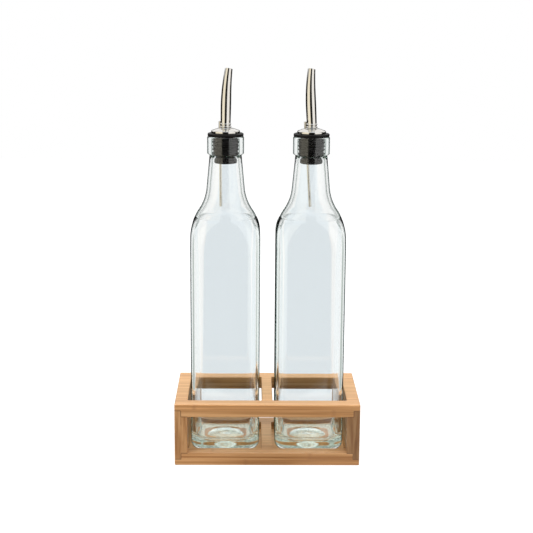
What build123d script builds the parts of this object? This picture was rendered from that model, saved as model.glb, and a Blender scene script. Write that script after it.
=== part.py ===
from build123d import *
import math
import os

# Cruet set: a bamboo caddy with two square glass bottles, each closed by a pourer.
# Frame: millimetres, +Z up, X to the right, Y to the back, origin under the middle of the caddy.

# ---- Caddy
CADDY_WIDTH = 160.0
CADDY_DEPTH = 93.0
CADDY_HEIGHT = 55.0
BOARD = 11.0  # thickness of every board
RABBET = BOARD / 2  # depth and height of the stepped corner joints
CENTRE_BAR = 9.2  # bar between the two windows of the top board
WINDOW_DEPTH = 68.0
WINDOW_CORNER = 1.5
FLOOR_PANEL = 4.0  # thickness of the panel that the bottles stand on
LEDGE = 2.5  # how far that panel reaches past the windows, under the bottom board
EDGE = 0.8  # easing of the outer edges
WINDOW_EDGE = 0.6

WINDOW_WIDTH = CADDY_WIDTH / 2 - BOARD - CENTRE_BAR / 2
BOTTLE_X = (CENTRE_BAR + WINDOW_WIDTH) / 2

# ---- Bottle, heights above its own base
BODY_HALF = 30.0
BODY_CORNER = 10.5
HEEL = 10.0
WALL = 3.0
FLOOR_TOP = 10.0  # inside floor at the walls
FLOOR_FILLET = 6.0
PUNT_RADIUS = 16.0  # hollow under the base
PUNT_HEIGHT = 4.0
CORNER_START = 179.0  # from here up the square section turns round
SHOULDER_START = 191.5  # from here up the section narrows
SHOULDER_ARC = 38.0
SHOULDER_SLOPE = 34.5  # steepest angle from the vertical, degrees
NECK_FILLET = 40.0
NECK_START = 232.0
NECK_START_HALF = 16.44
NECK_TAPER = 5.4  # degrees
ROUND_FROM = 213.0  # from here up the section is round
COLLAR_BOTTOM = 261.2
COLLAR_RADIUS = 15.8
LIP_TOP = 276.6
COLLAR_EDGE = 1.2
NECK_WALL = 2.6
NECK_STEP = 0.12  # the round neck starts this much inside the shoulder's last section
BORE = 12.0
SECTION_STEP = 5.5  # spacing of the shoulder's sections

# ---- Pourer, heights above the bottle's lip
FLANGE_RADIUS = 15.4
FLANGE = 2.7
PLUG_LENGTH = 23.2
PLUG_TOP_RADIUS = 11.5
PLUG_BOTTOM_RADIUS = 9.8
RIB_RADIUS = 11.8
RIB_COUNT = 6
RIB_PITCH = 3.0
RIB_FIRST = -16.6  # middle of the lowest rib
RIB_THICKNESS = 1.3
HUB_RADIUS = 11.4
HUB_HEIGHT = 1.6
CAP_RADIUS = 12.35
CAP_WALL = 0.8
CAP_SIDE = 2.4
CAP_DOME = 1.65
CAP_BOSS_RADIUS = 4.9
CAP_BOSS = 0.65
FIT = 0.05  # radial play of the metal tubes in their holes

SHANK_RADIUS = 3.5
TUBE_WALL = 0.6
SPOUT_BASE_RADIUS = 4.25
SPOUT_BELLY_RADIUS = 4.45
SPOUT_TIP_RADIUS = 3.2
SPOUT_BELLY_AT = 0.35  # share of the spout's height
SPOUT_TOP = 56.8
SPOUT_BACK_LEAN = 4.0  # degrees, in its lower half
SPOUT_FORWARD_LEAN = 18.0  # degrees, at its tip
SPOUT_BEND = 1.3  # how late the bend comes
SPOUT_TAPER = 1.5  # how late the taper comes
SPOUT_STATIONS = 8
FOOT_RADIUS = 5.0  # ring that the spout stands on
FOOT = 1.2
GROOVE = 1.0  # between the foot ring and the bead
BEAD_RADIUS = 4.75
BEAD = 1.4
SPOUT_FOOT = FLANGE + CAP_SIDE + CAP_DOME + CAP_BOSS
TUBE_FOOT = SPOUT_FOOT + FOOT + GROOVE + BEAD

VENT_RADIUS = 1.25
VENT_WALL = 0.3
VENT_TOP = 12.4
VENT_BOTTOM = -61.8

# Each side: where the bottle stands, which way its spout pours (degrees from +Y towards +X), how far
# the spout leans sideways (degrees towards +X before it is turned), and where its vent tube's two ends
# are in plan, measured from the bottle's axis.
SIDES = {
    "left": {"x": -BOTTLE_X, "pour": 25.0, "lean": 1.2, "vent_top": (-4.9, 4.2), "vent_bottom": (-4.3, 4.2)},
    "right": {"x": BOTTLE_X, "pour": 28.0, "lean": -3.6, "vent_top": (-5.3, 3.8), "vent_bottom": (-0.2, 4.9)},
}


def block(x0, x1, y0, y1, z0, z1):
    """A box between two corners."""
    return Pos((x0 + x1) / 2, (y0 + y1) / 2, (z0 + z1) / 2) * Box(x1 - x0, y1 - y0, z1 - z0)


def window(x, z0, z1):
    """The rounded rectangular prism that makes one window."""
    plan = RectangleRounded(WINDOW_WIDTH, WINDOW_DEPTH, WINDOW_CORNER)
    return Pos(x, 0, z0) * extrude(plan, z1 - z0)


def edges_at(shape, height):
    """The edges that lie wholly at one height."""
    return shape.edges().filter_by_position(Axis.Z, height - 1e-3, height + 1e-3)


def board(bottom, face, step):
    """A full-width board with eased edges on its outer face, two windows, and a step at each end."""
    half_w, half_d = CADDY_WIDTH / 2, CADDY_DEPTH / 2
    body = block(-half_w, half_w, -half_d, half_d, bottom, bottom + BOARD)
    body = fillet(body.edges().filter_by(Axis.Z) + edges_at(body, face), EDGE)
    for side in (-1, 1):
        body -= Pos(side * (half_w - RABBET / 2), 0, step) * Box(RABBET, CADDY_DEPTH, RABBET)
        body -= window(side * BOTTLE_X, bottom, bottom + BOARD)
    return body


def top_board():
    """The board with two windows that the bottles pass through; its ends are stepped underneath."""
    bottom = CADDY_HEIGHT - BOARD
    shape = board(bottom, CADDY_HEIGHT, bottom + RABBET / 2)
    reach_x, reach_y = CADDY_WIDTH / 2 - BOARD + EDGE, WINDOW_DEPTH / 2 + EDGE
    rims = edges_at(shape, CADDY_HEIGHT)
    rims = rims.filter_by(lambda e: abs(e.center().X) < reach_x and abs(e.center().Y) < reach_y)
    return fillet(rims, WINDOW_EDGE)


def floor_panel():
    """The thin panel that the bottles stand on, flush with the bottom board's underside."""
    half_w, half_d = CADDY_WIDTH / 2 - BOARD + LEDGE, WINDOW_DEPTH / 2 + LEDGE
    return block(-half_w, half_w, -half_d, half_d, 0, FLOOR_PANEL)


def bottom_board():
    """The board whose windows hold the bottles' feet; its ends are stepped, and it is recessed underneath."""
    return board(0, 0, BOARD - RABBET / 2) - floor_panel()


def end_panel(side):
    """An upright end board, tongued into the steps of the top and bottom boards."""
    outer, middle, inner = (side * (CADDY_WIDTH / 2 - inset) for inset in (0, RABBET, BOARD))
    half_d = CADDY_DEPTH / 2
    x0, x1 = sorted((outer, middle))
    tongue = block(x0, x1, -half_d, half_d, BOARD - RABBET, CADDY_HEIGHT - BOARD + RABBET)
    rim = tongue.edges().filter_by(Axis.Z).filter_by_position(Axis.X, outer - 1e-3, outer + 1e-3)
    x0, x1 = sorted((middle, inner))
    return fillet(rim, EDGE) + block(x0, x1, -half_d, half_d, BOARD, CADDY_HEIGHT - BOARD)


def shoulder_half(z):
    """Half the width of the bottle's outside between its straight body and the collar."""
    slope, taper = math.radians(SHOULDER_SLOPE), math.radians(NECK_TAPER)
    arc_top = SHOULDER_START + SHOULDER_ARC * math.sin(slope)
    arc_half = BODY_HALF - SHOULDER_ARC * (1 - math.cos(slope))
    gap = NECK_START_HALF + NECK_START * math.tan(taper) - arc_half - arc_top * math.tan(slope)
    meet = gap / (math.tan(taper) - math.tan(slope))
    tangent = NECK_FILLET * math.tan((slope - taper) / 2)
    if z <= SHOULDER_START:
        return BODY_HALF
    if z <= arc_top:
        rise = z - SHOULDER_START
        return BODY_HALF - SHOULDER_ARC + math.sqrt(SHOULDER_ARC**2 - rise**2)
    if z <= meet - tangent * math.cos(slope):
        return arc_half - (z - arc_top) * math.tan(slope)
    neck = NECK_START_HALF - (z - NECK_START) * math.tan(taper)
    if z >= meet + tangent * math.cos(taper):
        return neck
    foot = meet + tangent * math.cos(taper)
    centre_z = foot + NECK_FILLET * math.sin(taper)
    centre_half = NECK_START_HALF - (foot - NECK_START) * math.tan(taper) + NECK_FILLET * math.cos(taper)
    return centre_half - math.sqrt(NECK_FILLET**2 - (z - centre_z) ** 2)


def corner_share(z):
    """Corner radius over half width: the body's own share below, nearly a full circle at the neck."""
    low = BODY_CORNER / BODY_HALF
    t = min(max((z - CORNER_START) / (ROUND_FROM - CORNER_START), 0), 1)
    return low + (0.995 - low) * t * t * (3 - 2 * t)


def section(z, inset):
    """The bottle's rounded square section at height z, drawn in by inset."""
    half = shoulder_half(z) - inset
    radius = max(shoulder_half(z) * corner_share(z) - inset, WALL)
    plan = RectangleRounded(2 * half, 2 * half, min(radius, 0.995 * half))
    return Pos(0, 0, z) * plan


def shoulder(inset):
    """The part of the bottle between its square body and its round neck."""
    steps = round((NECK_START - CORNER_START) / SECTION_STEP)
    heights = [CORNER_START + (NECK_START - CORNER_START) * i / steps for i in range(steps + 1)]
    return loft([section(z, inset) for z in heights])


def turned(points):
    """A solid of revolution about Z from (radius, height) points."""
    outline = Polyline(*[(r, 0, z) for r, z in points], close=True)
    return revolve(make_face(outline), Axis.Z)


def neck_outside():
    """Tapered neck with the collar round its top."""
    neck_top = shoulder_half(COLLAR_BOTTOM)
    neck_foot = NECK_START_HALF - NECK_STEP
    neck = turned([(0, NECK_START), (neck_foot, NECK_START), (neck_top, COLLAR_BOTTOM), (0, COLLAR_BOTTOM)])
    collar = Pos(0, 0, COLLAR_BOTTOM) * extrude(Circle(COLLAR_RADIUS), LIP_TOP - COLLAR_BOTTOM)
    return neck + fillet(collar.edges(), COLLAR_EDGE)


def neck_inside():
    """The bore: it follows the neck and ends as the mouth that takes the pourer."""
    bottom = NECK_START_HALF - NECK_WALL
    straight_from = NECK_START + (bottom - BORE) / math.tan(math.radians(NECK_TAPER))
    outline = [(0, NECK_START), (bottom, NECK_START), (BORE, straight_from)]
    return turned(outline + [(BORE, LIP_TOP), (0, LIP_TOP)])


def bottle(x):
    """One glass bottle: square body, punt under its thick base, lofted shoulder, round neck and collar."""
    outside = extrude(RectangleRounded(2 * BODY_HALF, 2 * BODY_HALF, BODY_CORNER), CORNER_START)
    outside = fillet(edges_at(outside, 0), HEEL)
    outside = outside + shoulder(0) + neck_outside()
    inner_half = BODY_HALF - WALL
    inner_plan = RectangleRounded(2 * inner_half, 2 * inner_half, BODY_CORNER - WALL)
    inside = Pos(0, 0, FLOOR_TOP) * extrude(inner_plan, CORNER_START - FLOOR_TOP)
    inside = fillet(edges_at(inside, FLOOR_TOP), FLOOR_FILLET)
    inside = inside + shoulder(WALL) + neck_inside()
    ball = (PUNT_RADIUS**2 + PUNT_HEIGHT**2) / (2 * PUNT_HEIGHT)
    punt = Pos(0, 0, PUNT_HEIGHT - ball) * Sphere(ball)
    return Pos(x, 0, FLOOR_PANEL) * (outside - inside - punt)


def spout_lean(share):
    """Angle of the spout from the vertical at a share of its height: first back a little, then forward."""
    return SPOUT_FORWARD_LEAN * share**SPOUT_BEND - SPOUT_BACK_LEAN * math.sin(math.pi * share)


def spout_radius(share):
    """Outside radius of the spout: it swells to a belly, then tapers to the tip."""
    if share < SPOUT_BELLY_AT:
        swell = math.sin(math.pi / 2 * share / SPOUT_BELLY_AT)
        return SPOUT_BASE_RADIUS + (SPOUT_BELLY_RADIUS - SPOUT_BASE_RADIUS) * swell
    thin = (share - SPOUT_BELLY_AT) / (1 - SPOUT_BELLY_AT)
    return SPOUT_BELLY_RADIUS - (SPOUT_BELLY_RADIUS - SPOUT_TIP_RADIUS) * thin**SPOUT_TAPER


def bent_tube(inset, lean):
    """The spout's bent, tapered part above the bead as a solid, drawn in by inset; it pours towards +Y."""
    rise = (SPOUT_TOP - TUBE_FOOT) / SPOUT_STATIONS
    aside = rise * math.tan(math.radians(lean))
    along = 0.0
    rings = []
    for i in range(SPOUT_STATIONS + 1):
        share = i / SPOUT_STATIONS
        place = Pos(aside * i, along, TUBE_FOOT + rise * i) * Rot(-spout_lean(share), 0, 0)
        rings.append(place * Circle(spout_radius(share) - inset))
        along += rise * math.tan(math.radians(spout_lean(share + 0.5 / SPOUT_STATIONS)))
    return loft(rings)


def spout(x, pour, lean):
    """Bent stainless tube with a bead and a foot ring, and a straight shank down through the stopper."""
    foot_top = SPOUT_FOOT + FOOT
    bead_foot = foot_top + GROOVE
    shank_bore, spout_bore = SHANK_RADIUS - TUBE_WALL, SPOUT_BASE_RADIUS - TUBE_WALL
    stem = turned(
        [
            (shank_bore, -PLUG_LENGTH),
            (SHANK_RADIUS, -PLUG_LENGTH),
            (SHANK_RADIUS, SPOUT_FOOT),
            (FOOT_RADIUS - FOOT / 4, SPOUT_FOOT),
            (FOOT_RADIUS, SPOUT_FOOT + FOOT / 4),
            (FOOT_RADIUS, foot_top - FOOT / 2),
            (SPOUT_BASE_RADIUS, foot_top),
            (SPOUT_BASE_RADIUS, bead_foot),
            (BEAD_RADIUS, bead_foot + BEAD / 4),
            (BEAD_RADIUS, TUBE_FOOT - BEAD / 4),
            (SPOUT_BASE_RADIUS + BEAD / 4, TUBE_FOOT),
            (spout_bore, TUBE_FOOT),
            (spout_bore, bead_foot),
            (shank_bore, SPOUT_FOOT),
        ]
    )
    tube = stem + (bent_tube(0, lean) - bent_tube(TUBE_WALL, lean))
    return Pos(x, 0, FLOOR_PANEL + LIP_TOP) * Rot(0, 0, -pour) * tube


def vent(top, bottom, radius, reach):
    """A straight rod from the vent tube's lower end to its upper end, made longer by reach at both ends."""
    low = Vector(bottom[0], bottom[1], VENT_BOTTOM)
    high = Vector(top[0], top[1], VENT_TOP)
    way = (high - low).normalized()
    plane = Plane(origin=low - way * reach, z_dir=way)
    return extrude(plane * Circle(radius), (high - low).length + 2 * reach)


def vent_tube(x, top, bottom):
    """Thin stainless tube that lets air into the bottle while it pours."""
    tube = vent(top, bottom, VENT_RADIUS, 0) - vent(top, bottom, VENT_RADIUS - VENT_WALL, 1)
    return Pos(x, 0, FLOOR_PANEL + LIP_TOP) * tube


def plug_radius(z):
    """Radius of the plug between its ribs at a height under the lip."""
    return PLUG_TOP_RADIUS + (PLUG_TOP_RADIUS - PLUG_BOTTOM_RADIUS) * z / PLUG_LENGTH


def stopper(x, top, bottom):
    """Black plastic plug with ribs that grip the bore, a flange on the lip and a hub inside the cap."""
    outline = [(0, -PLUG_LENGTH), (PLUG_BOTTOM_RADIUS - 0.6, -PLUG_LENGTH)]
    outline += [(PLUG_BOTTOM_RADIUS, -PLUG_LENGTH + 0.6)]
    outline += [(PLUG_TOP_RADIUS, 0), (FLANGE_RADIUS, 0), (FLANGE_RADIUS, FLANGE), (HUB_RADIUS, FLANGE)]
    outline += [(HUB_RADIUS, FLANGE + HUB_HEIGHT), (0, FLANGE + HUB_HEIGHT)]
    body = turned(outline)
    rim = body.edges().filter_by(GeomType.CIRCLE).filter_by(lambda e: abs(e.radius - FLANGE_RADIUS) < 1e-3)
    body = fillet(rim, FLANGE * 0.4)
    for i in range(RIB_COUNT):
        z = RIB_FIRST + i * RIB_PITCH
        root = plug_radius(z) - 0.5
        low, high = z - RIB_THICKNESS / 2, z + RIB_THICKNESS / 2
        outline = [(0, low - 0.4), (root, low - 0.4), (RIB_RADIUS, z - 0.3), (RIB_RADIUS, high), (0, high)]
        body += turned(outline)
    body -= Pos(0, 0, -PLUG_LENGTH) * extrude(Circle(SHANK_RADIUS + FIT), PLUG_LENGTH + FLANGE + HUB_HEIGHT)
    body -= vent(top, bottom, VENT_RADIUS + FIT, 1)
    return Pos(x, 0, FLOOR_PANEL + LIP_TOP) * body


def cap(x, top, bottom):
    """Stainless disc pressed over the stopper's hub, domed up to a boss round the spout."""
    side_top, dome_top = FLANGE + CAP_SIDE, FLANGE + CAP_SIDE + CAP_DOME
    inner = HUB_RADIUS + FIT
    crown = (CAP_RADIUS + CAP_BOSS_RADIUS) / 2
    roof = FLANGE + HUB_HEIGHT + FIT
    with BuildSketch(Plane.XZ) as half:
        with BuildLine():
            Polyline(
                (inner, FLANGE),
                (CAP_RADIUS, FLANGE),
                (CAP_RADIUS, side_top - 0.5),
                (CAP_RADIUS - 0.5, side_top),
            )
            ThreePointArc(
                (CAP_RADIUS - 0.5, side_top),
                (crown, side_top + CAP_DOME * 0.78),
                (CAP_BOSS_RADIUS, dome_top),
            )
            Polyline(
                (CAP_BOSS_RADIUS, dome_top),
                (CAP_BOSS_RADIUS, dome_top + CAP_BOSS),
                (SHANK_RADIUS + FIT, dome_top + CAP_BOSS),
                (SHANK_RADIUS + FIT, roof),
                (inner, roof),
                (inner, FLANGE),
            )
        make_face()
    shell = revolve(half.sketch, Axis.Z)
    shell -= vent(top, bottom, VENT_RADIUS + FIT, 1)
    return Pos(x, 0, FLOOR_PANEL + LIP_TOP) * shell


def pieces():
    """Every piece of the set, by name."""
    made = {"top_board": top_board(), "bottom_board": bottom_board(), "floor_panel": floor_panel()}
    for sign, (side, place) in zip((-1, 1), SIDES.items()):
        x, top, bottom = place["x"], place["vent_top"], place["vent_bottom"]
        made[f"{side}_end_panel"] = end_panel(sign)
        made[f"{side}_bottle"] = bottle(x)
        made[f"{side}_stopper"] = stopper(x, top, bottom)
        made[f"{side}_cap"] = cap(x, top, bottom)
        made[f"{side}_spout"] = spout(x, place["pour"], place["lean"])
        made[f"{side}_vent_tube"] = vent_tube(x, top, bottom)
    return made


os.makedirs("parts", exist_ok=True)
for name, shape in pieces().items():
    shape.label = name
    export_step(shape, f"parts/{name}.step")
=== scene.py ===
import math

import bmesh
import bpy
from mathutils import Matrix, Vector


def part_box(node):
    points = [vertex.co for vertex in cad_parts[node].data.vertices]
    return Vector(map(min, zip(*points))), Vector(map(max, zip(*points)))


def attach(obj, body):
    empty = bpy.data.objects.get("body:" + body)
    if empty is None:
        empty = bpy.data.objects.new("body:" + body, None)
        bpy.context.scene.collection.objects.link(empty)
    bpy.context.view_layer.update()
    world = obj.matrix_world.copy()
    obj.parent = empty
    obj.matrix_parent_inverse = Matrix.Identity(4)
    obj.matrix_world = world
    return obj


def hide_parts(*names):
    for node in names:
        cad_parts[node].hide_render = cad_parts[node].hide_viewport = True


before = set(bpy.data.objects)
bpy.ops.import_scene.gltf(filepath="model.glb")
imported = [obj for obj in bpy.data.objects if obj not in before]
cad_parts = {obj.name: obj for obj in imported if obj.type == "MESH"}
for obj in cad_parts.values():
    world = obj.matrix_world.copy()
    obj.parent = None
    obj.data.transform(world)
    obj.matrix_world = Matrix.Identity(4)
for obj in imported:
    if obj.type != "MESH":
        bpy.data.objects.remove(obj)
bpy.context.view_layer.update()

MM = 0.001
BASE_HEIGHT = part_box("left_bottle")[0].z  # the bottles' undersides, in their windows
SIDES = ("left", "right")

# ---- Camera, at the angle the set is looked at from
CAMERA_PLACE = (-0.0151, -1.0468, 0.3957)
CAMERA_YAW, CAMERA_PITCH, CAMERA_ROLL = 0.77, 12.35, 0.40  # degrees
CAMERA_LENS, SENSOR = 82.65, 36.0  # mm

# ---- Caddy, in metres
HALF_WIDTH, HALF_DEPTH, HEIGHT = 0.080, 0.0465, 0.055
BOARD, STEP = 0.011, 0.0055  # a board's thickness, and the steps that join the boards

# ---- Bottle, in mm above its base and from its axis, with its slope and taper in degrees
AROUND = 192  # points round every ring of a bottle
BODY_HALF, BODY_CORNER = 30.0, 10.5
HEEL, HEEL_CORNER, HEEL_FLAT = 10.0, 5.0, 0.72  # its radius, least corner, and share of the flats kept below
PUNT_RADIUS, PUNT_HEIGHT = 16.0, 4.2
WALL, CORNER_WALL, INNER_CORNER = 3.0, 2.2, 3.0
FLOOR_TOP, FLOOR_DOME, FLOOR_FILLET = 9.5, 3.2, 9.0
FLOOR_CORNER = BODY_CORNER - CORNER_WALL + 4.0  # corner radius of the inside where its floor starts
ROUND_HEIGHT = 238.0  # every ring is a circle from here up
FINE_STEP, WALL_STEP, NECK_STEP, INSIDE_STEP = 0.75, 8, 3, 6  # spacing of the rings
ARCH_FOOT, ARCH_TOP = 177.0, 207.0  # each flat face ends in an arch between these heights
ARCH_CURVE = 0.8  # the power that shapes the arch
LEAST_CORNER = 0.2  # of the half width at the same height
SHOULDER_START, SHOULDER_ARC, SHOULDER_SLOPE = 191.5, 38.0, 34.5
NECK_START, NECK_START_HALF, NECK_TAPER, NECK_FILLET = 232.0, 16.44, 5.4, 40.0
COLLAR_BOTTOM, COLLAR_RADIUS, COLLAR_EDGE, COLLAR_FILLET = 261.2, 15.75, 1.3, 0.8
LIP_TOP, LIP_EDGE = 276.6, 0.8
NECK_WALL, BORE, BORE_TOP = 2.6, 12.0, LIP_TOP - 2.0
RIM_FROM, INNER_RIM = 197.0, 0.7  # above this height the inside takes the painted edge-on shade too, by this share

# ---- Pourer, in mm above the bottle's lip and from its axis
FLANGE_RADIUS, FLANGE, FLANGE_EDGE = 15.4, 2.7, 0.8
PLUG_LENGTH, PLUG_TOP_RADIUS, PLUG_BOTTOM_RADIUS, PLUG_EDGE = 23.2, 11.5, 9.8, 0.6
RIB_RADIUS, RIB_COUNT, RIB_PITCH, RIB_FIRST, RIB_TIP = 11.8, 6, 3.0, -16.6, 0.3
RIB_FOOT, RIB_HEAD = -1.05, 0.8  # where a rib leaves the plug, below and above its tip
HUB_HEIGHT = 1.6
CAP_RADIUS, CAP_SIDE, CAP_DOME, CAP_BOSS_RADIUS, CAP_BOSS = 12.35, 2.4, 1.65, 4.9, 0.65
CAP_ROLL, CAP_SHOULDER, BOSS_HOLLOW, BOSS_EDGE = 0.35, 0.85, 0.25, 0.35  # radii of its edges, outside in
SHANK_RADIUS, TUBE_WALL = 3.5, 0.6
SPOUT_BASE_RADIUS, SPOUT_BELLY_RADIUS, SPOUT_TIP_RADIUS = 4.25, 4.45, 3.2
SPOUT_BELLY_AT = 0.35  # share of its height
SPOUT_BACK_LEAN, SPOUT_FORWARD_LEAN = 4.0, 18.0  # degrees
SPOUT_BEND, SPOUT_TAPER = 1.3, 1.5  # the powers that it leans and thins by
SPOUT_FOOT, SPOUT_TOP = FLANGE + CAP_SIDE + CAP_DOME + CAP_BOSS, 56.8
FOOT_RADIUS, FOOT, GROOVE = 5.0, 1.2, 1.0
BEAD_RADIUS, BEAD = 4.75, 1.4
VENT_RADIUS, VENT_WALL, VENT_TOP, VENT_BOTTOM = 1.25, 0.3, 12.4, -61.8
POUR = {"left": 25.0, "right": 28.0}  # degrees from +Y towards +X
ASIDE = {"left": 1.2, "right": -3.6}  # degrees that a spout leans sideways, before it is turned
VENT_ENDS = {"left": ((-4.9, 4.2), (-4.3, 4.2)), "right": ((-5.3, 3.8), (-0.2, 4.9))}  # top, bottom


# ------------------------------------------------------------------ meshes
def mesh_object(name, verts, faces, smooth=True):
    """A new mesh object from vertices in metres."""
    mesh = bpy.data.meshes.new(name)
    mesh.from_pydata([tuple(v) for v in verts], [], faces)
    mesh.validate()
    bm = bmesh.new()
    bm.from_mesh(mesh)
    bmesh.ops.recalc_face_normals(bm, faces=bm.faces)
    bm.to_mesh(mesh)
    bm.free()
    for face in mesh.polygons:
        face.use_smooth = smooth
    obj = bpy.data.objects.new(name, mesh)
    bpy.context.scene.collection.objects.link(obj)
    return obj


def skin(rings, close_start=False, close_end=False, loop=False):
    """Vertices and faces of a surface through rings of equal length. Its ends may be closed to a point, or
    its last ring joined to the first."""
    count = len(rings[0])
    verts = [p for ring in rings for p in ring]
    faces = []
    pairs = len(rings) if loop else len(rings) - 1
    for i in range(pairs):
        a, b = i * count, (i + 1) % len(rings) * count
        for k in range(count):
            n = (k + 1) % count
            faces.append((a + k, a + n, b + n, b + k))
    for wanted, ring, base in ((close_start, rings[0], 0), (close_end, rings[-1], (len(rings) - 1) * count)):
        if wanted:
            verts.append(sum((Vector(p) for p in ring), Vector()) / count)
            faces += [(base + k, base + (k + 1) % count, len(verts) - 1) for k in range(count)]
    return verts, faces


def arc(centre, radius, start, end, steps):
    """Points on an arc in a profile's plane, angles in degrees from +r towards +z."""
    cr, cz = centre
    angles = [math.radians(start + (end - start) * i / steps) for i in range(steps + 1)]
    return [(cr + radius * math.cos(a), cz + radius * math.sin(a)) for a in angles]


def polar(place, radius, angle, height):
    """A point in metres, from its distance in mm from an upright axis and its height above a place on it."""
    x = place[0] + radius * MM * math.cos(angle)
    y = place[1] + radius * MM * math.sin(angle)
    return x, y, place[2] + height * MM


def lathe(name, profile, around, place):
    """A turned piece with a closed section of (radius, height) points in mm, round an axis through place."""
    angles = [2 * math.pi * k / around for k in range(around)]
    rings = [[polar(place, radius, angle, height) for angle in angles] for radius, height in profile]
    verts, faces = skin(rings, loop=True)
    return mesh_object(name, verts, faces)


# ------------------------------------------------------------------ bottle
def shoulder_half(z):
    """Half the width of a bottle's outside at height z, from its straight body up."""
    slope, taper = math.radians(SHOULDER_SLOPE), math.radians(NECK_TAPER)
    arc_top = SHOULDER_START + SHOULDER_ARC * math.sin(slope)
    arc_half = BODY_HALF - SHOULDER_ARC * (1 - math.cos(slope))
    gap = NECK_START_HALF + NECK_START * math.tan(taper) - arc_half - arc_top * math.tan(slope)
    meet = gap / (math.tan(taper) - math.tan(slope))
    tangent = NECK_FILLET * math.tan((slope - taper) / 2)
    foot = meet + tangent * math.cos(taper)
    if z <= SHOULDER_START:
        return BODY_HALF
    if z <= arc_top:
        return BODY_HALF - SHOULDER_ARC + math.sqrt(SHOULDER_ARC**2 - (z - SHOULDER_START) ** 2)
    if z <= meet - tangent * math.cos(slope):
        return arc_half - (z - arc_top) * math.tan(slope)
    if z >= foot:
        return NECK_START_HALF - (z - NECK_START) * math.tan(taper)
    centre_z = foot + NECK_FILLET * math.sin(taper)
    centre_half = NECK_START_HALF - (foot - NECK_START) * math.tan(taper) + NECK_FILLET * math.cos(taper)
    return centre_half - math.sqrt(NECK_FILLET**2 - (z - centre_z) ** 2)


def corner_at(z, half):
    """Corner radius of the outside at height z: each flat face narrows to nothing between two heights."""
    share = min(max((z - ARCH_FOOT) / (ARCH_TOP - ARCH_FOOT), 0), 1)
    flat = (BODY_HALF - BODY_CORNER) * (1 - share**2) ** ARCH_CURVE
    return max(half - flat, LEAST_CORNER * half)


def square_reach(half, corner, angle):
    """Distance from the axis to a rounded square's edge in a direction."""
    c, s = abs(math.cos(angle)), abs(math.sin(angle))
    if c < s:
        c, s = s, c
    flat = half - corner
    if s * half <= flat * c:
        return half / c
    along = flat * (c + s)
    return along + math.sqrt(max(along**2 - 2 * flat**2 + corner**2, 0))


def square_ring(z, half, corner, place):
    """One ring of a bottle at height z."""
    ring = []
    for k in range(AROUND):
        a = 2 * math.pi * (k + 0.5) / AROUND
        ring.append(polar(place, square_reach(half, min(corner, half), a), a, z))
    return ring


def heights(start, end, step):
    """Evenly spaced heights from start to end, both included, upwards or downwards."""
    count = max(1, round(abs(end - start) / step))
    return [start + (end - start) * i / count for i in range(count + 1)]


def outer_rings(place):
    """Outside of a bottle from the middle of its punt to the inner edge of its lip."""
    rings = []
    for i in range(1, 13):
        r = PUNT_RADIUS * i / 12
        rings.append(square_ring(PUNT_HEIGHT * math.cos(math.pi / 2 * i / 12), r, r, place))
    foot = BODY_HALF - HEEL
    for i in range(15):
        a = math.pi / 2 * i / 14
        half = foot + HEEL * math.sin(a)
        corner = half - (BODY_HALF - BODY_CORNER) * (HEEL_FLAT + (1 - HEEL_FLAT) * math.sin(a))
        rings.append(square_ring(HEEL * (1 - math.cos(a)), half, max(corner, HEEL_CORNER), place))
    for z in heights(HEEL, ARCH_FOOT, WALL_STEP)[1:] + heights(ARCH_FOOT, ROUND_HEIGHT, FINE_STEP)[1:]:
        half = shoulder_half(z)
        rings.append(square_ring(z, half, corner_at(z, half), place))
    for z in heights(ROUND_HEIGHT, COLLAR_BOTTOM - COLLAR_FILLET, NECK_STEP)[1:]:
        rings.append(square_ring(z, shoulder_half(z), shoulder_half(z), place))
    neck = shoulder_half(COLLAR_BOTTOM)
    profile = arc((neck + COLLAR_FILLET, COLLAR_BOTTOM - COLLAR_FILLET), COLLAR_FILLET, 180, 90, 4)
    profile += arc((COLLAR_RADIUS - COLLAR_EDGE, COLLAR_BOTTOM + COLLAR_EDGE), COLLAR_EDGE, -90, 0, 6)
    profile += arc((COLLAR_RADIUS - COLLAR_EDGE, LIP_TOP - COLLAR_EDGE), COLLAR_EDGE, 0, 90, 6)
    profile += arc((BORE + LIP_EDGE, LIP_TOP - LIP_EDGE), LIP_EDGE, 90, 180, 4)
    for r, z in profile:
        rings.append(square_ring(z, r, r, place))
    return rings


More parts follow.
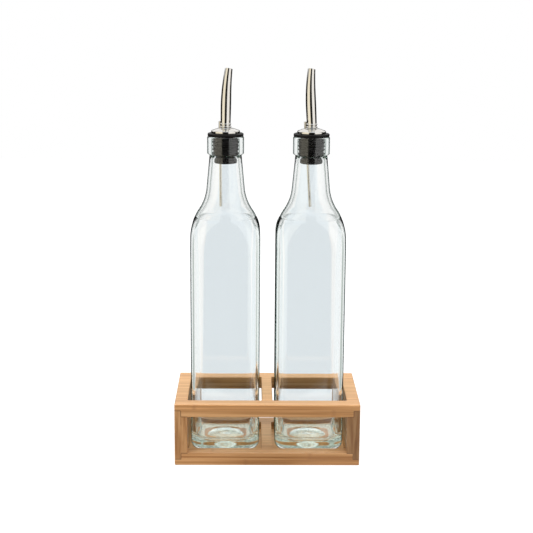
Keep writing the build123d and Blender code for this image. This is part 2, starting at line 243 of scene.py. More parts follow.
def inner_rings(place):
    """Inside of a bottle from the top of its bore to the middle of its floor."""
    rings = []
    bore_foot = NECK_START + (NECK_START_HALF - NECK_WALL - BORE) / math.tan(math.radians(NECK_TAPER))
    for z in heights(BORE_TOP, bore_foot, NECK_STEP):
        rings.append(square_ring(z, BORE, BORE, place))
    for z in heights(bore_foot, ROUND_HEIGHT, NECK_STEP)[1:]:
        half = shoulder_half(z) - NECK_WALL
        rings.append(square_ring(z, half, half, place))
    shoulder = heights(ROUND_HEIGHT, ARCH_FOOT, FINE_STEP)[1:]
    for z in shoulder + heights(ARCH_FOOT, FLOOR_TOP + FLOOR_FILLET, INSIDE_STEP)[1:]:
        share = min(max((z - ARCH_FOOT) / (NECK_START - ARCH_FOOT), 0), 1)
        wall = WALL + (NECK_WALL - WALL) * share
        outer = shoulder_half(z)
        half = outer - wall
        corner = corner_at(z, outer) - (CORNER_WALL + (NECK_WALL - CORNER_WALL) * share)
        rings.append(square_ring(z, half, min(max(corner, INNER_CORNER), half), place))
    inner_half = BODY_HALF - WALL
    for i in range(1, 13):
        a = math.pi / 2 * i / 12
        half = inner_half - FLOOR_FILLET * (1 - math.cos(a))
        corner = BODY_CORNER - CORNER_WALL + (FLOOR_CORNER - BODY_CORNER + CORNER_WALL) * math.sin(a)
        rings.append(square_ring(FLOOR_TOP + FLOOR_FILLET * (1 - math.sin(a)), half, corner, place))
    foot = inner_half - FLOOR_FILLET
    for i in range(1, 12):
        share = i / 12
        half = foot * (1 - share)
        rise = FLOOR_DOME * (1 - math.cos(math.pi * share)) / 2
        roundness = FLOOR_CORNER / foot + (1 - FLOOR_CORNER / foot) * share
        rings.append(square_ring(FLOOR_TOP + rise, half, roundness * half, place))
    return rings


def bottle(side):
    """Glass bottle in one closed surface. Its mesh says which points take painted shade when they are seen
    edge on.
    """
    lo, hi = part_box(f"{side}_bottle")
    place = ((lo.x + hi.x) / 2, (lo.y + hi.y) / 2, lo.z)
    outside, inside = outer_rings(place), inner_rings(place)
    verts, faces = skin(outside + inside, close_start=True, close_end=True)
    obj = mesh_object(f"{side}_glass_bottle", verts, faces)
    outer_count = len(outside) * AROUND
    shares = obj.data.attributes.new("outside", "FLOAT", "POINT").data
    rim_from = lo.z + RIM_FROM * MM
    for vertex in obj.data.vertices:
        inner = INNER_RIM if vertex.co.z > rim_from else 0.0
        shares[vertex.index].value = 1.0 if vertex.index < outer_count else inner
    return obj


# ------------------------------------------------------------------ pourer
def stopper(side, place):
    """Ribbed plug with a rounded flange and a hub."""
    profile = [(SHANK_RADIUS, -PLUG_LENGTH), (PLUG_BOTTOM_RADIUS - PLUG_EDGE, -PLUG_LENGTH)]
    profile += arc((PLUG_BOTTOM_RADIUS - PLUG_EDGE, -PLUG_LENGTH + PLUG_EDGE), PLUG_EDGE, -60, 0, 3)
    for i in range(RIB_COUNT):
        z = RIB_FIRST + i * RIB_PITCH
        root = PLUG_TOP_RADIUS + (PLUG_TOP_RADIUS - PLUG_BOTTOM_RADIUS) * z / PLUG_LENGTH
        profile += [(root - 0.1, z + RIB_FOOT - 0.2), (root, z + RIB_FOOT), (RIB_RADIUS - 0.25, z - 0.35)]
        profile += arc((RIB_RADIUS - RIB_TIP, z), RIB_TIP, -50, 70, 4)
        profile += [(root + 0.2, z + RIB_HEAD - 0.18), (root, z + RIB_HEAD)]
    profile += [(PLUG_TOP_RADIUS, -0.5), (PLUG_TOP_RADIUS + 0.3, 0), (FLANGE_RADIUS - 0.5, 0)]
    profile += arc((FLANGE_RADIUS - FLANGE_EDGE, FLANGE_EDGE + 0.1), FLANGE_EDGE, -70, 0, 4)
    profile += arc((FLANGE_RADIUS - FLANGE_EDGE, FLANGE - FLANGE_EDGE - 0.1), FLANGE_EDGE, 0, 90, 5)
    profile += [(CAP_RADIUS - 0.5, FLANGE), (CAP_RADIUS - 0.9, FLANGE + 0.1)]
    profile += [(CAP_RADIUS - 1.0, FLANGE + HUB_HEIGHT - 0.1), (SHANK_RADIUS, FLANGE + HUB_HEIGHT)]
    return lathe(f"{side}_black_stopper", profile, 96, place)


def cap(side, place):
    """Stamped disc: rolled lower edge, upright side, a soft corner, a dome and a boss round the spout."""
    side_top, dome_top = FLANGE + CAP_SIDE, FLANGE + CAP_SIDE + CAP_DOME
    roof = FLANGE + HUB_HEIGHT + 0.15
    profile = arc((CAP_RADIUS - CAP_ROLL, FLANGE + CAP_ROLL + 0.05), CAP_ROLL, -90, 0, 4)
    profile += arc((CAP_RADIUS - 0.9, side_top - 0.9), CAP_SHOULDER, 0, 62, 7)
    crown, base = CAP_RADIUS - 1.0, CAP_BOSS_RADIUS + 0.45
    for i in range(1, 13):
        share = i / 12
        r = crown + (base - crown) * share
        profile.append((r, side_top - 0.1 + (CAP_DOME + 0.1) * math.sin(math.pi / 2 * share) ** 1.1))
    profile += arc((base, dome_top + BOSS_HOLLOW), BOSS_HOLLOW, -90, -170, 4)
    profile += arc((CAP_BOSS_RADIUS - BOSS_EDGE, dome_top + CAP_BOSS - BOSS_EDGE - 0.01), BOSS_EDGE, 0, 90, 4)
    profile += [(SHANK_RADIUS + 0.1, dome_top + CAP_BOSS), (SHANK_RADIUS + 0.1, roof)]
    profile += [(CAP_RADIUS - 0.9, roof), (CAP_RADIUS - 0.85, FLANGE + 0.2)]
    return lathe(f"{side}_steel_cap", profile, 128, place)


def spout_lean(share):
    """Angle of a spout from the vertical at a share of its height."""
    return SPOUT_FORWARD_LEAN * share**SPOUT_BEND - SPOUT_BACK_LEAN * math.sin(math.pi * share)


def spout_radius(share):
    """Outside radius of a spout at a share of its height."""
    if share < SPOUT_BELLY_AT:
        swell = math.sin(math.pi / 2 * share / SPOUT_BELLY_AT)
        return SPOUT_BASE_RADIUS + (SPOUT_BELLY_RADIUS - SPOUT_BASE_RADIUS) * swell
    thin = (share - SPOUT_BELLY_AT) / (1 - SPOUT_BELLY_AT)
    return SPOUT_BELLY_RADIUS - (SPOUT_BELLY_RADIUS - SPOUT_TIP_RADIUS) * thin**SPOUT_TAPER


def spout(side, place):
    """Bent, tapered tube with a foot ring and a bead, open at its tip, and a shank through the stopper."""
    turn = Matrix.Rotation(math.radians(-POUR[side]), 3, "Z")
    around, steps = 64, 48
    foot_top = SPOUT_FOOT + FOOT
    bead_foot, bead_top = foot_top + GROOVE, foot_top + GROOVE + BEAD
    rise = (SPOUT_TOP - bead_top - 0.3) / steps
    aside = rise * math.tan(math.radians(ASIDE[side]))
    along = 0.0
    stations = []
    for i in range(steps + 1):
        share = i / steps
        centre = (aside * i, along, bead_top + rise * i)
        stations.append((centre, spout_radius(share), spout_lean(share)))
        along += rise * math.tan(math.radians(spout_lean(min(share + 0.5 / steps, 1))))

    def ring(centre, r, lean=0.0):
        tilt = Matrix.Rotation(math.radians(-lean), 3, "X")
        made = []
        for k in range(around):
            a = 2 * math.pi * k / around
            p = tilt @ Vector((r * math.cos(a), r * math.sin(a), 0)) + Vector(centre)
            made.append(Vector(place) + turn @ p * MM)
        return made

    profile = [(SHANK_RADIUS - TUBE_WALL, -PLUG_LENGTH), (SHANK_RADIUS, -PLUG_LENGTH)]
    profile += [(SHANK_RADIUS, SPOUT_FOOT - 0.05)]
    profile += arc((FOOT_RADIUS - FOOT / 2, SPOUT_FOOT + FOOT / 2), FOOT / 2, -90, 75, 8)
    profile += [(SPOUT_BASE_RADIUS + 0.1, foot_top + 0.1), (SPOUT_BASE_RADIUS, foot_top + GROOVE / 2)]
    profile += [(SPOUT_BASE_RADIUS + 0.05, bead_foot)]
    profile += arc((BEAD_RADIUS - BEAD / 2, bead_foot + BEAD / 2), BEAD / 2, -60, 60, 8)
    rings = [ring((0, 0, z), r) for r, z in profile]
    rings += [ring(*station) for station in stations[1:]]
    (x, y, z), r, lean = stations[-1]
    lip = TUBE_WALL / 2
    for i in range(1, 6):
        a = math.pi * i / 6
        rings.append(ring((x, y, z + lip * 0.9 * math.sin(a)), r - lip + lip * math.cos(a), lean))
    rings += [ring(centre, radius - TUBE_WALL, angle) for centre, radius, angle in reversed(stations)]
    verts, faces = skin(rings, loop=True)
    return mesh_object(f"{side}_steel_spout", verts, faces)


def vent_tube(side, place):
    """Thin tube from its stub beside the spout down into the neck."""
    top, bottom = VENT_ENDS[side]
    high = Vector(place) + Vector((*top, VENT_TOP - 0.1)) * MM
    low = Vector(place) + Vector((*bottom, VENT_BOTTOM + 0.1)) * MM
    way = (high - low).normalized()
    across = way.cross(Vector((0, 1, 0))).normalized()
    other = way.cross(across)
    around = 32
    outer, inner = VENT_RADIUS * MM, (VENT_RADIUS - VENT_WALL) * MM
    edge = 0.1 * MM
    sections = [(low, inner), (low, outer - edge), (low + way * edge, outer)]
    sections += [(low.lerp(high, share), outer) for share in (0.25, 0.5, 0.75)]
    sections += [(high - way * edge, outer), (high, outer - edge), (high, inner)]
    rings = []
    for centre, r in sections:
        angles = [2 * math.pi * k / around for k in range(around)]
        rings.append([centre + across * r * math.cos(a) + other * r * math.sin(a) for a in angles])
    verts, faces = skin(rings, loop=True)
    return mesh_object(f"{side}_steel_vent_tube", verts, faces)


# ------------------------------------------------------------------ materials
# the second colour is painted shade: the glass is darkened towards it where it is seen edge on
CLEAR, RIM_SHADE = (0.995, 0.998, 0.998, 1), (0.22, 0.26, 0.24, 1)
RIM_START, RIM_END = 0.52, 0.80  # painted shade darkens the glass between these shares of edge on
GLASS_DEPTH, GLASS_DENSITY = (0.50, 0.90, 0.76, 1), 3.6  # what the glass lets through, and how soon it tells
GLASS_SHADE = (0.95, 0.97, 0.96, 1)  # of its shadow
GLASS_IOR, RIPPLE_SCALE = 1.5, 55.0
FROST, STIPPLE_SCALE = (0.93, 0.98, 0.92, 1), 420.0
FROST_FULL, FROST_NONE = 0.0035, 0.0055  # heights above the base that the frost fades out between, in metres

STEEL_TONES = (0.78, 0.75, 0.70, 1), (0.90, 0.88, 0.84, 1)
# painted shade: the colour the steel darkens to in its crevices, and how far round the occlusion looks
CREVICE_SHADE_COLOUR, CREVICE_REACH = (0.05, 0.045, 0.04, 1), 0.002
LINE_SCALE, MARK_SCALE = (900, 900, 60), 160.0  # of the steel's drawing lines and handling marks
PLASTIC_TONES = (0.004, 0.004, 0.0045, 1), (0.014, 0.013, 0.012, 1)
GRAIN_SCALE, CLOUD_SCALE = 1500.0, 120.0  # of the plastic's fine grain and its broad changes

BAMBOO_TONES = [(0.33, (0.43, 0.185, 0.055)), (0.5, (0.62, 0.305, 0.110)), (0.67, (0.78, 0.43, 0.185))]
FIBRE, CULM_NODE, SEAM = (0.30, 0.12, 0.035, 1), (0.36, 0.15, 0.05, 1), (0.13, 0.055, 0.02, 1)
# painted highlight: the paler tone that upward faces of the bamboo are mixed towards
TOP_SHEEN = (0.74, 0.48, 0.27, 1)
STRIP_WIDTH, STRIP_HEIGHT = 0.0187, 0.0056  # the laminated strips of the bamboo, in metres
STRIP_ASIDE, STRIP_UP = 0.1003, 0.0002  # where the strips' joints are counted from, in metres
NODE_SPACING = 0.23  # between the culm's nodes in one strip, in metres
NODE_HALF, NODE_SHARE = 0.012, 0.4  # of the spacing, and how strongly a node tells
FIBRE_SCALE, BAND_SCALE = (14, 1100, 1100), (6, 380, 380)  # along the grain and across it
TOP_SHEEN_SHARE, SEAM_SHARE = 0.35, 0.7  # how strongly the painted highlight on upward faces and the seams tell
FACE_MARGIN = 0.001  # faces this near to the caddy's outside, in metres, count as outside


class Nodes:
    """Short forms for building a node tree."""

    def __init__(self, name, world=False):
        self.owner = bpy.data.worlds.new(name) if world else bpy.data.materials.new(name)
        self.owner.use_nodes = True
        self.tree = self.owner.node_tree
        self.tree.nodes.clear()

    def add(self, kind, inputs=None, **settings):
        """A node; inputs maps a socket's name or number to a value or to another node's output."""
        node = self.tree.nodes.new(kind)
        for key, value in settings.items():
            setattr(node, key, value)
        for key, value in (inputs or {}).items():
            socket = node.inputs[key]
            if isinstance(value, bpy.types.NodeSocket):
                self.tree.links.new(value, socket)
            else:
                socket.default_value = value
        return node

    def math(self, operation, a, b=0.0, c=0.0):
        """A Math node's output."""
        return self.add("ShaderNodeMath", {0: a, 1: b, 2: c}, operation=operation).outputs[0]

    def mix(self, share, a, b, blend="MIX"):
        """A colour mix's output."""
        node = self.add("ShaderNodeMix", {0: share, 6: a, 7: b}, data_type="RGBA", blend_type=blend)
        return node.outputs[2]

    def ramp(self, value, stops):
        """A colour ramp's output; stops are (position, (red, green, blue))."""
        node = self.add("ShaderNodeValToRGB", {0: value})
        band = node.color_ramp.elements
        while len(band) < len(stops):
            band.new(0.5)
        for element, (position, colour) in zip(band, stops):
            element.position = position
            element.color = (*colour, 1)
        return node.outputs[0]


def grey(value):
    """A neutral colour."""
    return (value, value, value, 1)


def glass_material():
    """Clear soda glass: painted shade where it is seen edge on, green in its depth, and stippled under its
    base.
    """
    n = Nodes("clear_glass")
    coords = n.add("ShaderNodeTexCoord").outputs
    front = n.math("SUBTRACT", 1.0, n.add("ShaderNodeNewGeometry").outputs["Backfacing"])
    outside = n.add("ShaderNodeAttribute", attribute_name="outside").outputs["Fac"]
    facing = n.add("ShaderNodeLayerWeight", {"Blend": 0.5}).outputs["Facing"]
    # painted shade: the glass's colour darkens where it is seen edge on, on its outside and upper inside
    edge_on = {0: facing, 1: RIM_START, 2: RIM_END}
    rim = n.add("ShaderNodeMapRange", edge_on, interpolation_type="SMOOTHSTEP").outputs[0]
    rim = n.math("MULTIPLY", rim, n.math("MULTIPLY", front, outside))
    rim_shaded = n.mix(rim, CLEAR, RIM_SHADE)
    waves = {"Vector": coords["Object"], "Scale": RIPPLE_SCALE, "Detail": 1.0}
    ripple = n.add("ShaderNodeTexNoise", waves).outputs[0]
    bump = n.add("ShaderNodeBump", {"Strength": 0.06, "Distance": 0.001, "Height": ripple}).outputs[0]
    look = {"Color": rim_shaded, "Roughness": 0.0, "IOR": GLASS_IOR, "Normal": bump}
    glass = n.add("ShaderNodeBsdfGlass", look)
    up = n.add("ShaderNodeSeparateXYZ", {0: coords["Object"]}).outputs[2]
    fade = {0: up, 1: BASE_HEIGHT + FROST_NONE, 2: BASE_HEIGHT + FROST_FULL}
    low = n.add("ShaderNodeMapRange", fade).outputs[0]
    level = n.math("ABSOLUTE", n.add("ShaderNodeSeparateXYZ", {0: coords["Normal"]}).outputs[2])
    under = n.add("ShaderNodeMapRange", {0: level, 1: 0.35, 2: 0.8}).outputs[0]
    dots = n.add("ShaderNodeTexVoronoi", {"Vector": coords["Object"], "Scale": STIPPLE_SCALE}).outputs[0]
    stipple = n.add("ShaderNodeMapRange", {0: dots, 1: 0.2, 2: 0.7, 3: 0.85, 4: 0.5}).outputs[0]
    frost = n.math("MULTIPLY", n.math("MULTIPLY", low, under), stipple)
    milky = n.add("ShaderNodeBsdfDiffuse", {"Color": FROST})
    body = n.add("ShaderNodeMixShader", {0: frost, 1: glass.outputs[0], 2: milky.outputs[0]})
    clear = n.add("ShaderNodeBsdfTransparent", {"Color": GLASS_SHADE})
    shadow = n.add("ShaderNodeLightPath").outputs["Is Shadow Ray"]
    shader = n.add("ShaderNodeMixShader", {0: shadow, 1: body.outputs[0], 2: clear.outputs[0]})
    volume = n.add("ShaderNodeVolumeAbsorption", {"Color": GLASS_DEPTH, "Density": GLASS_DENSITY})
    n.add("ShaderNodeOutputMaterial", {"Surface": shader.outputs[0], "Volume": volume.outputs[0]})
    return n.owner


def steel_material():
    """Polished stainless steel, with faint drawing lines and handling marks, and painted shade darkening its
    crevices.
    """
    n = Nodes("polished_steel")
    coords = n.add("ShaderNodeTexCoord").outputs["Object"]
    lines = n.add("ShaderNodeMapping", {"Vector": coords, "Scale": LINE_SCALE}).outputs[0]
    drawn = n.add("ShaderNodeTexNoise", {"Vector": lines, "Scale": 1.0, "Detail": 3.0}).outputs[0]
    marks = n.add("ShaderNodeTexNoise", {"Vector": coords, "Scale": MARK_SCALE, "Detail": 4.0}).outputs[0]
    rough = n.add("ShaderNodeMapRange", {0: marks, 1: 0.3, 2: 0.75, 3: 0.06, 4: 0.15}).outputs[0]
    tone = n.mix(drawn, *STEEL_TONES)
    # painted shade: ambient occlusion darkens the steel's colour in its crevices
    crevice_occlusion = n.add("ShaderNodeAmbientOcclusion", {"Distance": CREVICE_REACH}, samples=8).outputs["AO"]
    crevice_shade = n.add("ShaderNodeMapRange", {0: crevice_occlusion, 1: 0.85, 2: 0.35, 3: 0.0, 4: 0.85}).outputs[0]
    tone = n.mix(crevice_shade, tone, CREVICE_SHADE_COLOUR)
    bump = n.add("ShaderNodeBump", {"Strength": 0.05, "Distance": 0.0002, "Height": drawn}).outputs[0]
    metal = n.add(
        "ShaderNodeBsdfPrincipled", {"Base Color": tone, "Metallic": 1.0, "Roughness": rough, "Normal": bump}
    )
    n.add("ShaderNodeOutputMaterial", {"Surface": metal.outputs[0]})
    return n.owner


def plastic_material():
    """Black moulded plastic with a satin skin."""
    n = Nodes("black_plastic")
    coords = n.add("ShaderNodeTexCoord").outputs["Object"]
    fine = n.add("ShaderNodeTexNoise", {"Vector": coords, "Scale": GRAIN_SCALE, "Detail": 2.0}).outputs[0]
    broad = n.add("ShaderNodeTexNoise", {"Vector": coords, "Scale": CLOUD_SCALE, "Detail": 3.0}).outputs[0]
    tone = n.mix(broad, *PLASTIC_TONES)
    rough = n.add("ShaderNodeMapRange", {0: broad, 1: 0.3, 2: 0.7, 3: 0.30, 4: 0.45}).outputs[0]
    bump = n.add("ShaderNodeBump", {"Strength": 0.12, "Distance": 0.0002, "Height": fine}).outputs[0]
    skin_shader = n.add("ShaderNodeBsdfPrincipled", {"Base Color": tone, "Roughness": rough, "Normal": bump})
    skin_shader.inputs["Specular IOR Level"].default_value = 0.10
    n.add("ShaderNodeOutputMaterial", {"Surface": skin_shader.outputs[0]})
    return n.owner


def seams(n, x, z):
    """Thin shadow lines where the stepped ends of the boards meet, from 0 to 1."""
    out = n.math("ABSOLUTE", x)
    low = n.math("MINIMUM", z, n.math("SUBTRACT", HEIGHT, z))

    def line(value, at):
        off = n.math("ABSOLUTE", n.math("SUBTRACT", value, at))
        return n.add("ShaderNodeMapRange", {0: off, 1: 0.0002, 2: 0.0005, 3: 1.0, 4: 0.0}).outputs[0]

    def between(value, start, end):
        return n.math("MULTIPLY", n.math("GREATER_THAN", value, start), n.math("LESS_THAN", value, end))

    step_x, inner_x = HALF_WIDTH - STEP, HALF_WIDTH - BOARD
    outer = n.math("MULTIPLY", line(low, BOARD - STEP), n.math("GREATER_THAN", out, step_x))
    upright = n.math("MULTIPLY", line(out, step_x), between(low, BOARD - STEP, BOARD))
    inner = n.math("MULTIPLY", line(low, BOARD), between(out, inner_x, step_x))
    return n.math("MAXIMUM", n.math("MAXIMUM", outer, upright), inner)


def bamboo_material(name, along, seed, depth=1.0, inside=1.0, upright=1.0):
    """Laminated bamboo: strips with their own tones, long fibres, and the culm's nodes across some strips.
    along is the axis the grain runs on, 0 for X or 1 for Y; inside is painted shade that darkens the faces
    within the caddy.
    Where the grain runs front to back, depth darkens the end grain and upright stretches it in height."""
    n = Nodes(name)
    coords = n.add("ShaderNodeTexCoord").outputs
    split = n.add("ShaderNodeSeparateXYZ", {0: coords["Object"]}).outputs
    normal = n.add("ShaderNodeSeparateXYZ", {0: coords["Normal"]}).outputs
    end_grain = n.math("GREATER_THAN", n.math("ABSOLUTE", normal[1]), 0.7) if along else 0.0
    stretch = n.math("SUBTRACT", 1.0, n.math("MULTIPLY", end_grain, 1.0 - 1.0 / upright))
    length, across, up = split[along], split[1 - along], n.math("MULTIPLY", split[2], stretch)
    strip_y = n.math("FLOOR", n.math("DIVIDE", n.math("ADD", across, STRIP_ASIDE), STRIP_WIDTH))
    strip_z = n.math("FLOOR", n.math("DIVIDE", n.math("ADD", up, STRIP_UP), STRIP_HEIGHT))
    key = n.add("ShaderNodeCombineXYZ", {0: strip_y, 1: strip_z, 2: float(seed)}).outputs[0]
    own = n.add("ShaderNodeTexWhiteNoise", {"Vector": key}, noise_dimensions="3D").outputs
    shifted = n.add("ShaderNodeCombineXYZ", {0: n.math("ADD", length, own[0]), 1: across, 2: up}).outputs[0]
    fibres_at = n.add("ShaderNodeMapping", {"Vector": shifted, "Scale": FIBRE_SCALE}).outputs[0]
    fibres = n.add("ShaderNodeTexNoise", {"Vector": fibres_at, "Scale": 1.0, "Detail": 4.0}).outputs[0]
    bands_at = n.add("ShaderNodeMapping", {"Vector": shifted, "Scale": BAND_SCALE}).outputs[0]
    bands = n.add("ShaderNodeTexNoise", {"Vector": bands_at, "Scale": 1.0, "Detail": 3.0}).outputs[0]
    place = n.math("FRACT", n.math("ADD", n.math("DIVIDE", length, NODE_SPACING), own[0]))
    near = n.math("ABSOLUTE", n.math("SUBTRACT", place, 0.5))
    ridge = n.add("ShaderNodeMapRange", {0: near, 1: 0.0, 2: NODE_HALF, 3: 1.0, 4: 0.0}).outputs[0]
    tone = n.ramp(bands, BAMBOO_TONES)
    strip_tone = n.add("ShaderNodeMapRange", {0: own[0], 3: 0.86, 4: 1.06}).outputs[0]
    darker = n.math("SUBTRACT", 1.0, n.math("MULTIPLY", end_grain, 1.0 - depth))
    strip_tone = n.math("MULTIPLY", strip_tone, darker)
    shade = n.add("ShaderNodeCombineColor", {0: strip_tone, 1: strip_tone, 2: strip_tone}).outputs[0]
    tone = n.mix(1.0, tone, shade, "MULTIPLY")
    dark = n.add("ShaderNodeMapRange", {0: fibres, 1: 0.45, 2: 0.32, 3: 0.0, 4: 0.6}).outputs[0]
    tone = n.mix(dark, tone, FIBRE)
    tone = n.mix(n.math("MULTIPLY", ridge, NODE_SHARE), tone, CULM_NODE)
    # painted highlight: faces that look up are made paler, as if catching the light from above
    top = n.add("ShaderNodeMapRange", {0: normal[2], 1: 0.4, 2: 0.9}).outputs[0]
    tone = n.mix(n.math("MULTIPLY", top, TOP_SHEEN_SHARE), tone, TOP_SHEEN)
    # painted shade: faces within the caddy that don't face up are darkened by inside
    within_x = n.math("LESS_THAN", n.math("ABSOLUTE", split[0]), HALF_WIDTH - FACE_MARGIN)
    within_y = n.math("LESS_THAN", n.math("ABSOLUTE", split[1]), HALF_DEPTH - FACE_MARGIN)
    inner_shade = n.math("MULTIPLY", n.math("MULTIPLY", within_x, within_y), n.math("SUBTRACT", 1.0, top))
    tone = n.mix(inner_shade, tone, n.mix(1.0, tone, grey(inside), "MULTIPLY"))
    tone = n.mix(n.math("MULTIPLY", seams(n, split[0], split[2]), SEAM_SHARE), tone, SEAM)
    rough = n.add("ShaderNodeMapRange", {0: fibres, 1: 0.3, 2: 0.7, 3: 0.52, 4: 0.38}).outputs[0]
    height = n.math("SUBTRACT", fibres, n.math("MULTIPLY", ridge, NODE_SHARE))
    bump = n.add("ShaderNodeBump", {"Strength": 0.25, "Distance": 0.0003, "Height": height}).outputs[0]
    wood = n.add("ShaderNodeBsdfPrincipled", {"Base Color": tone, "Roughness": rough, "Normal": bump})
    wood.inputs["Coat Weight"].default_value = 0.12
    wood.inputs["Coat Roughness"].default_value = 0.3
    n.add("ShaderNodeOutputMaterial", {"Surface": wood.outputs[0]})
    return n.owner


def paint(obj, material):
    """Gives every material slot of an object one material."""
    if not obj.material_slots:
        obj.data.materials.append(material)
    for slot in obj.material_slots:
        slot.material = material


# ------------------------------------------------------------------ studio
CARD_SLOPE, CARD_EDGE, CARD_CORE = 0.013, 0.085, 0.065  # middle and half widths of the card behind the set
CARD, CEILING = (0.86, 0.915, 0.95, 1), (0.86, 0.93, 1.0, 1)
DARK_WALL, BRIGHT_WALL = (0.012, 0.012, 0.012), (1.0, 1.0, 1.0)
SIDE_WALL, NEAR_WALL = (0.50, 0.55, 0.52), (0.95, 0.95, 0.95)
LEFT_LIGHT, RIGHT_LIGHT = (1.0, 0.93, 0.76, 1), (1.0, 0.99, 0.97, 1)
MATT_SURROUND = 0.33  # brightness that matt surfaces see all round
LAMPS = (  # name, place and size in metres, power in watts, colour
    ("left_softbox", (-1.0, -0.55, 0.55), (0.7, 1.1), 4.4, (1.0, 0.96, 0.88)),
    ("right_softbox", (1.0, -0.45, 0.55), (0.7, 1.1), 2.6, (0.98, 0.98, 0.98)),
    ("top_softbox", (0.0, -0.1, 1.3), (1.2, 1.0), 19, (1.0, 1.0, 1.0)),
)
LAMP_TARGET = (0, 0, 0.17)
FLOOR_HALF = 2.0


def make_camera():
    """The camera, turned from its yaw, pitch and roll."""
    yaw, pitch, roll = (math.radians(a) for a in (CAMERA_YAW, CAMERA_PITCH, CAMERA_ROLL))
    ahead = Vector((math.sin(yaw) * math.cos(pitch), math.cos(yaw) * math.cos(pitch), -math.sin(pitch)))
    level = Vector((math.cos(yaw), -math.sin(yaw), 0))
    upward = level.cross(ahead)
    right = math.cos(roll) * level + math.sin(roll) * upward
    top = math.cos(roll) * upward - math.sin(roll) * level
    turn = Matrix((right, top, -ahead)).transposed().to_4x4()
    data = bpy.data.cameras.new("camera")
    data.lens, data.sensor_width = CAMERA_LENS, SENSOR
    camera = bpy.data.objects.new("camera", data)
    camera.matrix_world = Matrix.Translation(CAMERA_PLACE) @ turn
    bpy.context.scene.collection.objects.link(camera)
    bpy.context.scene.camera = camera


def round_the_set(n, x, y):
    """Where a direction points in plan: how far to the front (-1 is behind), and how far to the right."""
    reach = n.math("SQRT", n.math("ADD", n.math("MULTIPLY", x, x), n.math("MULTIPLY", y, y)))
    reach = n.math("MAXIMUM", reach, 1e-4)
    return n.math("DIVIDE", n.math("MULTIPLY", y, -1.0), reach), n.math("DIVIDE", x, reach)


def studio_walls(n, x, y):
    """Colour of the studio that polished surfaces mirror: a dark front, a warm bright wall on the left, a
    white one on the right and a dark back."""
    front, side = round_the_set(n, x, y)
    stops = [(0.50, DARK_WALL), (0.58, BRIGHT_WALL), (0.945, BRIGHT_WALL), (0.965, DARK_WALL)]
    walls = n.ramp(n.math("MULTIPLY_ADD", front, 0.5, 0.5), stops)
    right = n.add("ShaderNodeMapRange", {0: side, 1: -0.1, 2: 0.1}).outputs[0]
    warmth = n.mix(right, LEFT_LIGHT, RIGHT_LIGHT)
    return n.mix(1.0, walls, warmth, "MULTIPLY")


def backdrop(n, x, y, slope):
    """Colour of the studio that is seen through the glass: a pale card straight behind, white beside it, and
    grey walls far to the sides. slope is how far to the right a line runs for each metre it runs back."""
    front, _ = round_the_set(n, x, y)
    stops = [(0.0, BRIGHT_WALL), (0.16, BRIGHT_WALL), (0.23, SIDE_WALL), (0.40, SIDE_WALL), (0.47, NEAR_WALL)]
    wide = n.ramp(n.math("MULTIPLY_ADD", front, 0.5, 0.5), stops)
    off = n.math("ABSOLUTE", n.math("SUBTRACT", slope, CARD_SLOPE))
    edges = {0: off, 1: CARD_EDGE, 2: CARD_CORE}
    card = n.add("ShaderNodeMapRange", edges, interpolation_type="SMOOTHSTEP").outputs[0]
    card = n.math("MULTIPLY", card, n.math("LESS_THAN", front, 0.0))
    return n.mix(card, wide, CARD)


def by_ray(n, front, mirrored, through, straight):
    """A surround's colour by what a ray has met (polished, clear, matt or nothing), and whether it met either
    of the first two."""
    path = n.add("ShaderNodeLightPath").outputs
    in_glass = n.math("GREATER_THAN", path["Transmission Depth"], 0.5)
    bounced = n.math("GREATER_THAN", path["Glossy Depth"], 0.5)
    ahead = n.math("MAXIMUM", n.math("GREATER_THAN", front, 0.0), n.math("SUBTRACT", 1.0, in_glass))
    colour = n.mix(in_glass, straight, through)
    colour = n.mix(n.math("MULTIPLY", bounced, ahead), colour, mirrored)
    return n.mix(path["Is Diffuse Ray"], colour, grey(MATT_SURROUND)), n.math("MAXIMUM", in_glass, bounced)


def make_floor():
    """A pale table that fills the view. It glows, and glass and steel see the studio's colours in it."""
    half = FLOOR_HALF
    verts = [(-half, -half, 0), (half, -half, 0), (half, half, 0), (-half, half, 0)]
    floor = mesh_object("floor", verts, [(0, 1, 2, 3)], smooth=False)
    n = Nodes("pale_floor")
    x, y, _ = n.add("ShaderNodeSeparateXYZ", {0: n.add("ShaderNodeTexCoord").outputs["Object"]}).outputs
    aside = n.math("SUBTRACT", x, CAMERA_PLACE[0])
    slope = n.math("DIVIDE", aside, n.math("MAXIMUM", n.math("SUBTRACT", y, CAMERA_PLACE[1]), 1e-3))
    front, _ = round_the_set(n, x, y)
    colour, polished = by_ray(n, front, studio_walls(n, x, y), backdrop(n, x, y, slope), grey(0.94))
    matt = n.add("ShaderNodeBsdfDiffuse", {"Color": n.mix(polished, grey(0.25), grey(0.0))})
    glow = n.add("ShaderNodeEmission", {"Color": colour, "Strength": 1.0})
    both = n.add("ShaderNodeAddShader", {0: matt.outputs[0], 1: glow.outputs[0]})
    n.add("ShaderNodeOutputMaterial", {"Surface": both.outputs[0]})
    floor.data.materials.append(n.owner)


def softbox(name, place, size, power, colour):
    """A rectangular lamp that faces the middle of the set."""
    data = bpy.data.lights.new(name, "AREA")
    data.shape, data.size, data.size_y = "RECTANGLE", *size
    data.energy, data.color = power, colour
    lamp = bpy.data.objects.new(name, data)
    lamp.location = place
    lamp.rotation_euler = (Vector(LAMP_TARGET) - Vector(place)).to_track_quat("-Z", "Y").to_euler()
    lamp.visible_glossy = False
    lamp.visible_transmission = False
    bpy.context.scene.collection.objects.link(lamp)


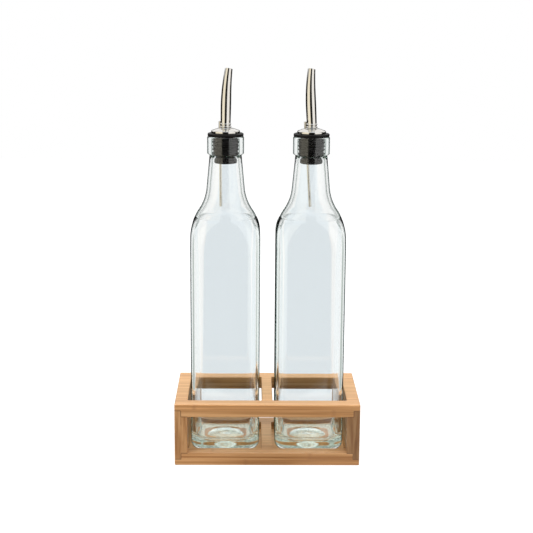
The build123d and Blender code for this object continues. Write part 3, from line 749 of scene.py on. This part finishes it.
def make_world():
    """A white surround. Polished surfaces mirror the studio's walls, a pale upper wall behind the set and a
    bright ceiling, and the glass shows the backdrop."""
    n = Nodes("studio", world=True)
    x, y, z = n.add("ShaderNodeSeparateXYZ", {0: n.add("ShaderNodeTexCoord").outputs["Generated"]}).outputs
    front, _ = round_the_set(n, x, y)
    behind = n.add("ShaderNodeMapRange", {0: front, 1: -0.1, 2: -0.4}).outputs[0]
    band = n.add("ShaderNodeMapRange", {0: z, 1: 0.14, 2: 0.24}).outputs[0]
    walls = n.mix(n.math("MULTIPLY", behind, band), studio_walls(n, x, y), grey(0.95))
    rise = {0: z, 1: 0.74, 2: 0.86}
    ceiling = n.add("ShaderNodeMapRange", rise, interpolation_type="SMOOTHSTEP").outputs[0]
    mirrored = n.mix(ceiling, walls, CEILING)
    slope = n.math("DIVIDE", x, n.math("MAXIMUM", y, 1e-3))
    colour, _ = by_ray(n, front, mirrored, backdrop(n, x, y, slope), grey(1.0))
    back = n.add("ShaderNodeBackground", {"Color": colour, "Strength": 1.0})
    n.add("ShaderNodeOutputWorld", {"Surface": back.outputs[0]})
    bpy.context.scene.world = n.owner


# ------------------------------------------------------------------ the set
make_camera()
make_floor()
make_world()
for lamp in LAMPS:
    softbox(*lamp)

glass, steel, plastic = glass_material(), steel_material(), plastic_material()
# inside sets how much painted shade each material puts on the faces within the caddy
boards = bamboo_material("bamboo_boards", 0, 3, inside=0.66)
left_end = bamboo_material("bamboo_left_end", 1, 8, 0.92, inside=0.80, upright=12.0)
right_end = bamboo_material("bamboo_right_end", 1, 5, 0.53, inside=0.60, upright=12.0)
for node, material in (
    ("top_board", boards),
    ("bottom_board", boards),
    ("floor_panel", boards),
    ("left_end_panel", left_end),
    ("right_end_panel", right_end),
):
    paint(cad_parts[node], material)

for side in SIDES:
    glass_lo, glass_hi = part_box(f"{side}_bottle")
    lip = ((glass_lo.x + glass_hi.x) / 2, (glass_lo.y + glass_hi.y) / 2, glass_hi.z)
    made = {
        "bottle": (bottle(side), glass, "clear_glass"),
        "stopper": (stopper(side, lip), plastic, "black_plastic"),
        "cap": (cap(side, lip), steel, "stainless_steel"),
        "spout": (spout(side, lip), steel, "stainless_steel"),
        "vent_tube": (vent_tube(side, lip), steel, "stainless_steel"),
    }
    for part, (piece, material, slot_name) in made.items():
        paint(piece, material)
        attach(piece, f"{side}_bottle" if part == "bottle" else f"{side}_pourer")
        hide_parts(f"{side}_{part}")

scene = bpy.context.scene
scene.view_settings.view_transform = "Standard"
scene.cycles.max_bounces = 32
scene.cycles.glossy_bounces = 24
scene.cycles.transmission_bounces = 24
